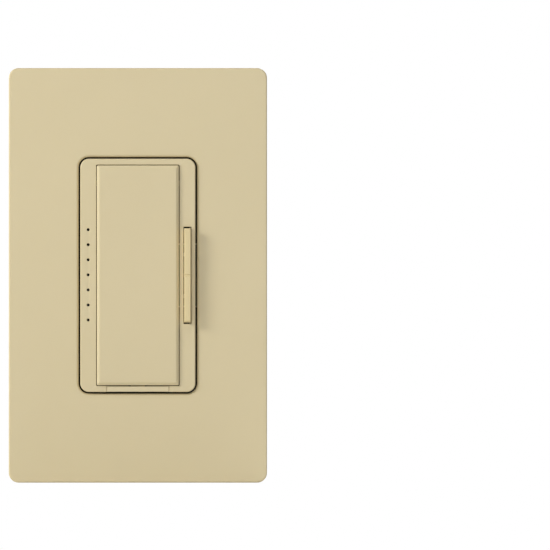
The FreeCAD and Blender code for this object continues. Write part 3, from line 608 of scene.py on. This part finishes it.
def makeTapSwitch():
    low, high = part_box("tap_switch")
    wide, tall, front = tapWidth / 2, high.z, low.y

    def outer(inset, corner):
        return roundedOutline(-wide + inset, wide - inset, -tall + inset, tall - inset, corner, steps=6)

    rings = [(outer(0, tapSwitch["corner"]), tapSwitch["back"])]
    for inset, depth in tapSwitch["edge"]:
        rings.append((outer(inset * mm, tapSwitch["corner"]), front + depth * mm))
    rings.append((outer(wide - tapSwitch["middleStrip"], tapSwitch["stripCorner"]), front))
    bm = bmesh.new()
    made = ringVerts(bm, rings)
    inside = front + tapSwitch["skin"]
    cavity = outer(tapSwitch["wall"], tapSwitch["cavityCorner"])
    inner = ringVerts(bm, [(cavity, tapSwitch["back"]), (cavity, inside)])
    bm.faces.new(list(reversed(made[-1])))
    bm.faces.new(inner[-1])
    joinRings(bm, [inner[1], inner[0], *made])
    # pivot lugs and pins at the top, and the post that presses the key
    pivotY, pivotZ, half = tapSwitch["pivotY"], tapSwitch["pivotZ"], tapSwitch["lugHalf"]
    for side in (-1, 1):
        left, right = sorted((side * (wide - tapSwitch["wall"]), side * wide))
        lug = roundedOutline(left, right, pivotZ - half, pivotZ + half, tapSwitch["lugCorner"], steps=3)
        addSlab(bm, [lug], inside, tapSwitch["lugBack"])
        ends = sorted((side * (wide - tapSwitch["pinSunk"]), side * tapSwitch["pinEnd"]))
        addTurned(bm, [(end, tapSwitch["pinRadius"]) for end in ends], (pivotY, pivotZ), "X")
    radius, tip = tapSwitch["postRadius"], tapSwitch["postTip"]
    post = [(inside - tapSwitch["postSunk"], radius), (high.y - tip, radius), (high.y, radius - tip)]
    addTurned(bm, post, (0, tapSwitch["postZ"]), "Y")
    finishPiece(bm, "tapPaddle", "tap_switch", "ivory_cover", ["tap_switch"])


makeTapSwitch()
print("tap switch made")


# raise and lower rocker

rocker = {"roll": 0.75 * mm, "edge": 0.28 * mm, "back": -4.0 * mm, "notchHalf": 0.30 * mm,
          "notchDeep": 0.3 * mm, "notchSpread": 1.6, "pinRadius": 0.6 * mm,
          "pinX": (12.65 * mm, 15.95 * mm), "pinY": -5.0 * mm, "footZ": 6.0 * mm, "footWide": 1.6 * mm,
          "footHigh": 1.2 * mm, "footCorner": 0.15 * mm, "footSunk": 0.1 * mm, "steps": 8,
          "softDepth": 1.6 * mm}


def addSideways(bm, outline, left, right, soften, softTest):
    # a (y, z) outline carried from left to right, its edges rounded at both sides where the test passes
    block = bmesh.new()
    rings = [[block.verts.new((x, y, z)) for y, z in outline] for x in (left, right)]
    block.faces.new(rings[0])
    block.faces.new(list(reversed(rings[1])))
    for i in range(len(outline)):
        j = (i + 1) % len(outline)
        block.faces.new((rings[0][i], rings[1][i], rings[1][j], rings[0][j]))
    bmesh.ops.recalc_face_normals(block, faces=list(block.faces))
    chosen = [edge for edge in block.edges
              if abs(edge.verts[0].co.x - edge.verts[1].co.x) < tiny
              and softTest((edge.verts[0].co + edge.verts[1].co) / 2)]
    bmesh.ops.bevel(block, geom=chosen, offset=soften, segments=4, profile=0.5, affect="EDGES",
                    clamp_overlap=False)
    pourInto(bm, block)


def makeRocker():
    low, high, middle = boxOf("level_rocker")
    front, tall, back, roll = low.y, high.z, rocker["back"], rocker["roll"]
    half, deep, steps = rocker["notchHalf"], rocker["notchDeep"], rocker["steps"]
    rounded = quarterTurn(steps)
    outline = [(back, -tall)]
    outline += [(front + roll * (1 - across), -tall + roll * along) for along, across in rounded]
    # the finger notch: a shallow wave across the middle
    for i in range(steps + 1):
        share = i / steps * 2 - 1
        wave = (front + deep * (1 + math.cos(share * math.pi)) / 2, share * half * rocker["notchSpread"])
        outline.append(wave)
    outline += [(front + roll * (1 - across), tall - roll * along) for along, across in reversed(rounded)]
    outline.append((back, tall))
    bm = bmesh.new()
    left, right = middle.x - rockerWidth / 2, middle.x + rockerWidth / 2
    addSideways(bm, outline, left, right, rocker["edge"], lambda point: point.y < front + rocker["softDepth"])
    pin = [(x, rocker["pinRadius"]) for x in rocker["pinX"]]
    addTurned(bm, pin, (rocker["pinY"], 0), "X", steps=24)
    halfX, halfZ = rocker["footWide"] / 2, rocker["footHigh"] / 2
    for end in (-1, 1):
        centre = end * rocker["footZ"]
        foot = roundedOutline(middle.x - halfX, middle.x + halfX, centre - halfZ, centre + halfZ,
                              rocker["footCorner"], steps=3)
        addSlab(bm, [foot], back - rocker["footSunk"], high.y)
    finishPiece(bm, "levelRocker", "level_rocker", "ivory_rocker", ["level_rocker"])


makeRocker()
print("rocker made")


# air-gap tab

airGapTab = {"back": -3.4 * mm, "edge": 0.1 * mm, "corner": 0.12 * mm, "stemWide": 5.0 * mm,
             "stemZ": (-32.95 * mm, -32.05 * mm), "stemSunk": 0.1 * mm}


def makeTab():
    low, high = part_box("air_gap_tab")
    bm = bmesh.new()
    strip = roundedOutline(low.x, high.x, low.z, high.z, airGapTab["corner"], steps=3)
    addSlab(bm, [strip], low.y, airGapTab["back"], [(airGapTab["edge"], lambda point: True)])
    half = airGapTab["stemWide"] / 2
    stem = roundedOutline(-half, half, *airGapTab["stemZ"], airGapTab["corner"], steps=3)
    addSlab(bm, [stem], airGapTab["back"] - airGapTab["stemSunk"], high.y)
    finishPiece(bm, "airGapTab", "air_gap_tab", "ivory_cover", ["air_gap_tab"])


makeTab()
print("air-gap tab made")


# moulded and pressed pieces with softened edges
# node: the piece's name, and the width of its edge rounding in millimetres
softEdges = {
    "rear_housing": ("rearHousing", 0.35), "yoke": ("yokeStrap", 0.14),
    "faceplate_adapter": ("plateAdapter", 0.18), "adapter_screws": ("adapterScrews", 0.12),
    "screw_retainers": ("screwRetainers", 0.08), "housing_screws": ("housingScrews", 0.1),
    "ground_screw": ("groundScrew", 0.14),
    "line_terminal_screw": ("lineScrew", 0.14), "load_terminal_screw": ("loadScrew", 0.14),
    "remote_terminal_screw": ("remoteScrew", 0.14), "line_terminal_plate": ("linePlate", 0.12),
    "load_terminal_plate": ("loadPlate", 0.12), "remote_terminal_plate": ("remotePlate", 0.12),
    "film_capacitor": ("filmCapacitor", 0.5), "supply_capacitor": ("supplyCapacitor", 0.4),
    "varistor": ("varistorDisc", 0.7), "thermal_fuse": ("thermalFuse", 0.35),
    "dropper_resistor": ("dropperResistor", 0.45), "triac": ("triacBody", 0.12),
    "microcontroller": ("processorChip", 0.12), "control_board": ("controlBoard", 0.1),
    "power_board": ("powerBoard", 0.1), "tap_contact": ("tapKey", 0.15), "raise_contact": ("raiseKey", 0.12),
    "lower_contact": ("lowerKey", 0.12), "choke_core": ("chokeCore", 0.5),
}
# merge is in metres; flat, sharp and shadeSharp are in degrees
softening = {"merge": 2e-6, "flat": 0.5, "sharp": 35, "segments": 2, "shadeSharp": 20}


def softenNode(node, name, width):
    # the node's own shape with its flat faces joined up and its sharp edges rounded
    bm = bmesh.new()
    bm.from_mesh(frame["nodes"][node].data)
    bmesh.ops.remove_doubles(bm, verts=list(bm.verts), dist=softening["merge"])
    bmesh.ops.dissolve_limit(bm, angle_limit=math.radians(softening["flat"]), verts=list(bm.verts),
                             edges=list(bm.edges))
    sharp = math.radians(softening["sharp"])
    hard = [edge for edge in bm.edges if len(edge.link_faces) == 2 and edge.calc_face_angle(0) > sharp]
    bmesh.ops.bevel(bm, geom=hard, offset=width * mm, segments=softening["segments"], profile=0.5,
                    affect="EDGES", clamp_overlap=True)
    bmesh.ops.triangulate(bm, faces=[face for face in bm.faces if len(face.verts) > 4])
    finishPiece(bm, name, "device", slotOf[node], [node], softening["shadeSharp"])


for node, (name, width) in softEdges.items():
    softenNode(node, name, width)
print("edges softened on", len(softEdges), "pieces")


# box screws: the threads are wound by Geometry Nodes

boxScrews = {"crest": 1.75 * mm, "root": 1.38 * mm, "pitch": 0.794 * mm, "neckBack": 0.7 * mm,
             "threadBack": 21.9 * mm, "headFront": -3.6 * mm, "headBack": -1.6 * mm,
             "headRadius": 3.1 * mm, "headTop": 0.55, "headEdge": 0.15 * mm, "domeDeep": 1.5 * mm,
             "domeSteps": 5, "neckRadius": 1.4 * mm, "pointRadius": 0.8 * mm, "sides": 36,
             "recessWide": 2.8 * mm, "recessDeep": 1.2 * mm, "runIn": 0.4 * mm, "pointsPerTurn": 28}


def newTree(name, inputs):
    # inputs maps each kind of socket to the labels of the inputs that have it
    tree = bpy.data.node_groups.new(name, "GeometryNodeTree")
    for kind, labels in {"Geometry": ["Geometry"], **inputs, "Material": ["Material"]}.items():
        for label in labels:
            tree.interface.new_socket(label, in_out="INPUT", socket_type="NodeSocket" + kind)
    tree.interface.new_socket("Geometry", in_out="OUTPUT", socket_type="NodeSocketGeometry")
    return tree, tree.nodes.new("NodeGroupInput"), tree.nodes.new("NodeGroupOutput")


def treeMath(tree, kind, *values):
    node = tree.nodes.new("ShaderNodeMath")
    node.operation = kind
    for place, value in zip(node.inputs, values):
        if isinstance(value, bpy.types.NodeSocket):
            tree.links.new(value, place)
        else:
            place.default_value = value
    return node.outputs[0]


def closeTree(tree, entry, out, parts):
    # the parts joined, made real and painted
    join = tree.nodes.new("GeometryNodeJoinGeometry")
    for part in parts:
        tree.links.new(part, join.inputs["Geometry"])
    real = tree.nodes.new("GeometryNodeRealizeInstances")
    paint = tree.nodes.new("GeometryNodeSetMaterial")
    tree.links.new(join.outputs["Geometry"], real.inputs["Geometry"])
    tree.links.new(real.outputs["Geometry"], paint.inputs["Geometry"])
    tree.links.new(entry.outputs["Material"], paint.inputs["Material"])
    tree.links.new(paint.outputs["Geometry"], out.inputs["Geometry"])


def runTree(bm, tree, values, name, body, slotName, replaced):
    # the base shape with the tree's result, as one plain mesh
    mesh = bpy.data.meshes.new(name + "Base")
    bm.to_mesh(mesh)
    bm.free()
    base = addToScene(name + "Base", mesh)
    modifier = base.modifiers.new("nodes", "NODES")
    modifier.node_group = tree
    ids = {item.name: item.identifier for item in tree.interface.items_tree
           if item.item_type == "SOCKET" and item.in_out == "INPUT"}
    for label, value in values.items():
        modifier[ids[label]] = value
    modifier[ids["Material"]] = finishes[slotName]
    result = bpy.data.meshes.new_from_object(base.evaluated_get(bpy.context.evaluated_depsgraph_get()))
    base.modifiers.remove(modifier)
    bpy.data.objects.remove(base)
    bpy.data.meshes.remove(mesh)
    made = bmesh.new()
    made.from_mesh(result)
    bpy.data.meshes.remove(result)
    finishPiece(made, name, body, slotName, replaced)


def makeThreadTree():
    # a ridge wound along Y, one for each screw, joined to the screws' bodies
    tree, entry, out = newTree("screwThread", {
        "Float": ["Crest", "Root", "Pitch", "Start", "Length", "Apart"], "Int": ["Points"]})
    nodes, links = tree.nodes, tree.links
    # the ridge is centred on the root and reaches the crest
    depth = treeMath(tree, "SUBTRACT", entry.outputs["Crest"], entry.outputs["Root"])
    spiral = nodes.new("GeometryNodeCurveSpiral")
    links.new(entry.outputs["Points"], spiral.inputs["Resolution"])
    rounds = treeMath(tree, "DIVIDE", entry.outputs["Length"], entry.outputs["Pitch"])
    links.new(rounds, spiral.inputs["Rotations"])
    links.new(entry.outputs["Length"], spiral.inputs["Height"])
    for label in ("Start Radius", "End Radius"):
        links.new(entry.outputs["Root"], spiral.inputs[label])
    ridge = nodes.new("GeometryNodeCurvePrimitiveCircle")
    ridge.inputs["Resolution"].default_value = 4
    links.new(depth, ridge.inputs["Radius"])
    sweep = nodes.new("GeometryNodeCurveToMesh")
    sweep.inputs["Fill Caps"].default_value = True
    links.new(spiral.outputs["Curve"], sweep.inputs["Curve"])
    links.new(ridge.outputs["Curve"], sweep.inputs["Profile Curve"])
    turn = nodes.new("GeometryNodeTransform")
    turn.inputs["Rotation"].default_value = (-math.pi / 2, 0, 0)
    place = nodes.new("ShaderNodeCombineXYZ")
    links.new(entry.outputs["Start"], place.inputs["Y"])
    links.new(place.outputs["Vector"], turn.inputs["Translation"])
    links.new(sweep.outputs["Mesh"], turn.inputs["Geometry"])
    line = nodes.new("GeometryNodeMeshLine")
    line.inputs["Count"].default_value = 2
    first, step = nodes.new("ShaderNodeCombineXYZ"), nodes.new("ShaderNodeCombineXYZ")
    links.new(treeMath(tree, "MULTIPLY", entry.outputs["Apart"], -0.5), first.inputs["Z"])
    links.new(entry.outputs["Apart"], step.inputs["Z"])
    links.new(first.outputs["Vector"], line.inputs["Start Location"])
    links.new(step.outputs["Vector"], line.inputs["Offset"])
    copies = nodes.new("GeometryNodeInstanceOnPoints")
    links.new(line.outputs["Mesh"], copies.inputs["Points"])
    links.new(turn.outputs["Geometry"], copies.inputs["Instance"])
    closeTree(tree, entry, out, [entry.outputs["Geometry"], copies.outputs["Instances"]])
    return tree


def makeBoxScrews():
    low, high, middle = boxOf("box_screws")
    apart = high.z - low.z - 2 * boxScrews["headRadius"]
    headRadius, root = boxScrews["headRadius"], boxScrews["root"]
    front, seat = boxScrews["headFront"], boxScrews["headBack"]
    # a pan head: a low dome, then the neck, the root of the thread and the point
    top, chamfer, neck = boxScrews["headTop"], boxScrews["headEdge"], boxScrews["neckRadius"]
    profile = [(front, top * headRadius)]
    for along, across in reversed(quarterTurn(boxScrews["domeSteps"])):
        dome = (front + boxScrews["domeDeep"] * (1 - across), headRadius * (1 - (1 - top) * (1 - along) ** 2))
        profile.append(dome)
    profile += [(seat - chamfer, headRadius), (seat, headRadius - chamfer), (seat, neck),
                (boxScrews["neckBack"], neck), (boxScrews["neckBack"], root),
                (boxScrews["threadBack"], root), (high.y, boxScrews["pointRadius"])]
    bm, recess = bmesh.new(), bmesh.new()
    half, thin = boxScrews["recessWide"] / 2, boxScrews["recessWide"] / 8
    for end in (-1, 1):
        height = middle.z + end * apart / 2
        addTurned(bm, profile, (0, height), "Y", boxScrews["sides"])
        cross = [(half, -thin), (half, thin), (thin, thin), (thin, half), (-thin, half), (-thin, thin),
                 (-half, thin), (-half, -thin), (-thin, -thin), (-thin, -half), (thin, -half), (thin, -thin)]
        addSlab(recess, [[(x, height + z) for x, z in cross]], front - mm, front + boxScrews["recessDeep"])
    bmesh.ops.remove_doubles(bm, verts=list(bm.verts), dist=tiny)
    bm = carved(bm, recess)
    values = {"Crest": boxScrews["crest"], "Root": root, "Pitch": boxScrews["pitch"],
              "Start": boxScrews["neckBack"] + boxScrews["runIn"],
              "Length": boxScrews["threadBack"] - boxScrews["neckBack"] - 2 * boxScrews["runIn"],
              "Apart": apart, "Points": boxScrews["pointsPerTurn"]}
    runTree(bm, makeThreadTree(), values, "boxScrews", "device", "screw_steel", ["box_screws"])


makeBoxScrews()
print("box screws wound")


# choke: wire turns wound round the core

choke = {"wire": 0.42 * mm, "turns": 24, "sweep": 318.0, "innerRadius": 3.92 * mm, "outerRadius": 8.68 * mm,
         "front": 17.22 * mm, "back": 23.98 * mm, "bend": 0.7 * mm}


def makeWindingTree():
    # one rounded loop of wire, repeated round the core's axis
    tree, entry, out = newTree("wireTurns", {
        "Float": ["Wire", "Sweep", "Inner", "Outer", "Front", "Back", "Bend"], "Int": ["Turns"],
        "Vector": ["Centre"]})
    nodes, links = tree.nodes, tree.links
    loop = nodes.new("GeometryNodeCurvePrimitiveQuadrilateral")
    for label, more, less in (("Width", "Outer", "Inner"), ("Height", "Back", "Front")):
        span = treeMath(tree, "SUBTRACT", entry.outputs[more], entry.outputs[less])
        links.new(span, loop.inputs[label])
    bend = nodes.new("GeometryNodeFilletCurve")
    bend.mode = "POLY"
    bend.inputs["Count"].default_value = 5
    links.new(entry.outputs["Bend"], bend.inputs["Radius"])
    links.new(loop.outputs["Curve"], bend.inputs["Curve"])
    section = nodes.new("GeometryNodeCurvePrimitiveCircle")
    section.inputs["Resolution"].default_value = 12
    links.new(entry.outputs["Wire"], section.inputs["Radius"])
    sweep = nodes.new("GeometryNodeCurveToMesh")
    links.new(bend.outputs["Curve"], sweep.inputs["Curve"])
    links.new(section.outputs["Curve"], sweep.inputs["Profile Curve"])
    middleOf = [treeMath(tree, "MULTIPLY", treeMath(tree, "ADD", entry.outputs[a], entry.outputs[b]), 0.5)
                for a, b in (("Inner", "Outer"), ("Front", "Back"))]
    offset = nodes.new("ShaderNodeCombineXYZ")
    links.new(middleOf[0], offset.inputs["X"])
    links.new(middleOf[1], offset.inputs["Y"])
    place = nodes.new("GeometryNodeTransform")
    links.new(offset.outputs["Vector"], place.inputs["Translation"])
    links.new(sweep.outputs["Mesh"], place.inputs["Geometry"])
    line = nodes.new("GeometryNodeMeshLine")
    line.inputs["Offset"].default_value = (0, 0, 0)
    links.new(entry.outputs["Turns"], line.inputs["Count"])
    links.new(entry.outputs["Centre"], line.inputs["Start Location"])
    index = nodes.new("GeometryNodeInputIndex")
    share = treeMath(tree, "DIVIDE", index.outputs["Index"], entry.outputs["Turns"])
    angle = nodes.new("ShaderNodeCombineXYZ")
    links.new(treeMath(tree, "MULTIPLY", share, entry.outputs["Sweep"]), angle.inputs["Y"])
    copies = nodes.new("GeometryNodeInstanceOnPoints")
    links.new(line.outputs["Mesh"], copies.inputs["Points"])
    links.new(place.outputs["Geometry"], copies.inputs["Instance"])
    links.new(angle.outputs["Vector"], copies.inputs["Rotation"])
    closeTree(tree, entry, out, [entry.outputs["Geometry"], copies.outputs["Instances"]])
    return tree


def makeWinding():
    middle = boxOf("choke_core")[2]
    values = {"Wire": choke["wire"], "Turns": choke["turns"], "Sweep": math.radians(choke["sweep"]),
              "Inner": choke["innerRadius"], "Outer": choke["outerRadius"], "Front": choke["front"],
              "Back": choke["back"], "Bend": choke["bend"], "Centre": (middle.x, 0, middle.z)}
    runTree(bmesh.new(), makeWindingTree(), values, "chokeWinding", "device", "copper_wire",
            ["choke_winding"])


makeWinding()
print("choke wound")


# camera, floor and light

view = {"scale": 0.1584, "shiftX": 0.0395, "height": 0.0001, "far": 0.6}
floorLook = {"half": 1.2, "below": 0.2 * mm, "tone": (0.86, 0.86, 0.85), "roughness": 0.7}


def makeCamera():
    data = bpy.data.cameras.new("camera")
    data.type = "ORTHO"
    data.ortho_scale = view["scale"]
    camera = addToScene("camera", data)
    camera.location = (view["shiftX"], -view["far"], view["height"])
    camera.rotation_euler = (math.pi / 2, 0, 0)
    bpy.context.scene.camera = camera


def makeFloor():
    bm = bmesh.new()
    bmesh.ops.create_grid(bm, x_segments=1, y_segments=1, size=floorLook["half"])
    bmesh.ops.translate(bm, verts=list(bm.verts), vec=(0, 0, cadBox[0].z - floorLook["below"]))
    mesh = bpy.data.meshes.new("floor")
    bm.to_mesh(mesh)
    bm.free()
    floor = addToScene("floor", mesh)
    material = bpy.data.materials.new("floorFinish")
    material.use_nodes = True
    shader = material.node_tree.nodes["Principled BSDF"]
    shader.inputs["Base Color"].default_value = (*floorLook["tone"], 1)
    shader.inputs["Roughness"].default_value = floorLook["roughness"]
    mesh.materials.append(material)


lights = {
    "key": {"place": (-1.00, -0.50, 0.45), "size": 0.40, "power": 9.6, "colour": (1.0, 0.99, 0.97)},
    "top": {"place": (-0.15, -0.55, 1.05), "size": 0.6, "power": 3.0, "colour": (1.0, 0.98, 0.965)},
    "front": {"place": (0.22, -1.30, 0.12), "size": 0.3, "power": 2.3, "colour": (1.0, 1.0, 1.0)},
    "back": {"place": (0.45, 0.95, 0.75), "size": 0.7, "power": 10.0, "colour": (1.0, 1.0, 1.0)},
    "backSide": {"place": (-0.9, 0.7, 0.2), "size": 0.6, "power": 5.0, "colour": (1.0, 1.0, 1.0)},
}
backdrop = (0.20, 1.0)  # strength as light, and as the camera has it


def makeLights():
    for name, look in lights.items():
        data = bpy.data.lights.new(name, "AREA")
        data.shape = "DISK"
        data.size = look["size"]
        data.energy = look["power"]
        data.color = look["colour"]
        lamp = addToScene(name, data)
        lamp.location = look["place"]
        lamp.rotation_euler = (-Vector(look["place"])).to_track_quat("-Z", "Y").to_euler()
    world = bpy.data.worlds.new("studio")
    world.use_nodes = True
    nodes, links = world.node_tree.nodes, world.node_tree.links
    nodes["Background"].inputs["Color"].default_value = (1, 1, 1, 1)
    # white to the camera, and dimmer as a source of light
    path = nodes.new("ShaderNodeLightPath")
    level = nodes.new("ShaderNodeMapRange")
    level.inputs["To Min"].default_value, level.inputs["To Max"].default_value = backdrop
    links.new(path.outputs["Is Camera Ray"], level.inputs["Value"])
    links.new(level.outputs["Result"], nodes["Background"].inputs["Strength"])
    bpy.context.scene.world = world
    bpy.context.scene.view_settings.view_transform = "Standard"


makeCamera()
makeFloor()
makeLights()
print("camera, floor and lights set")
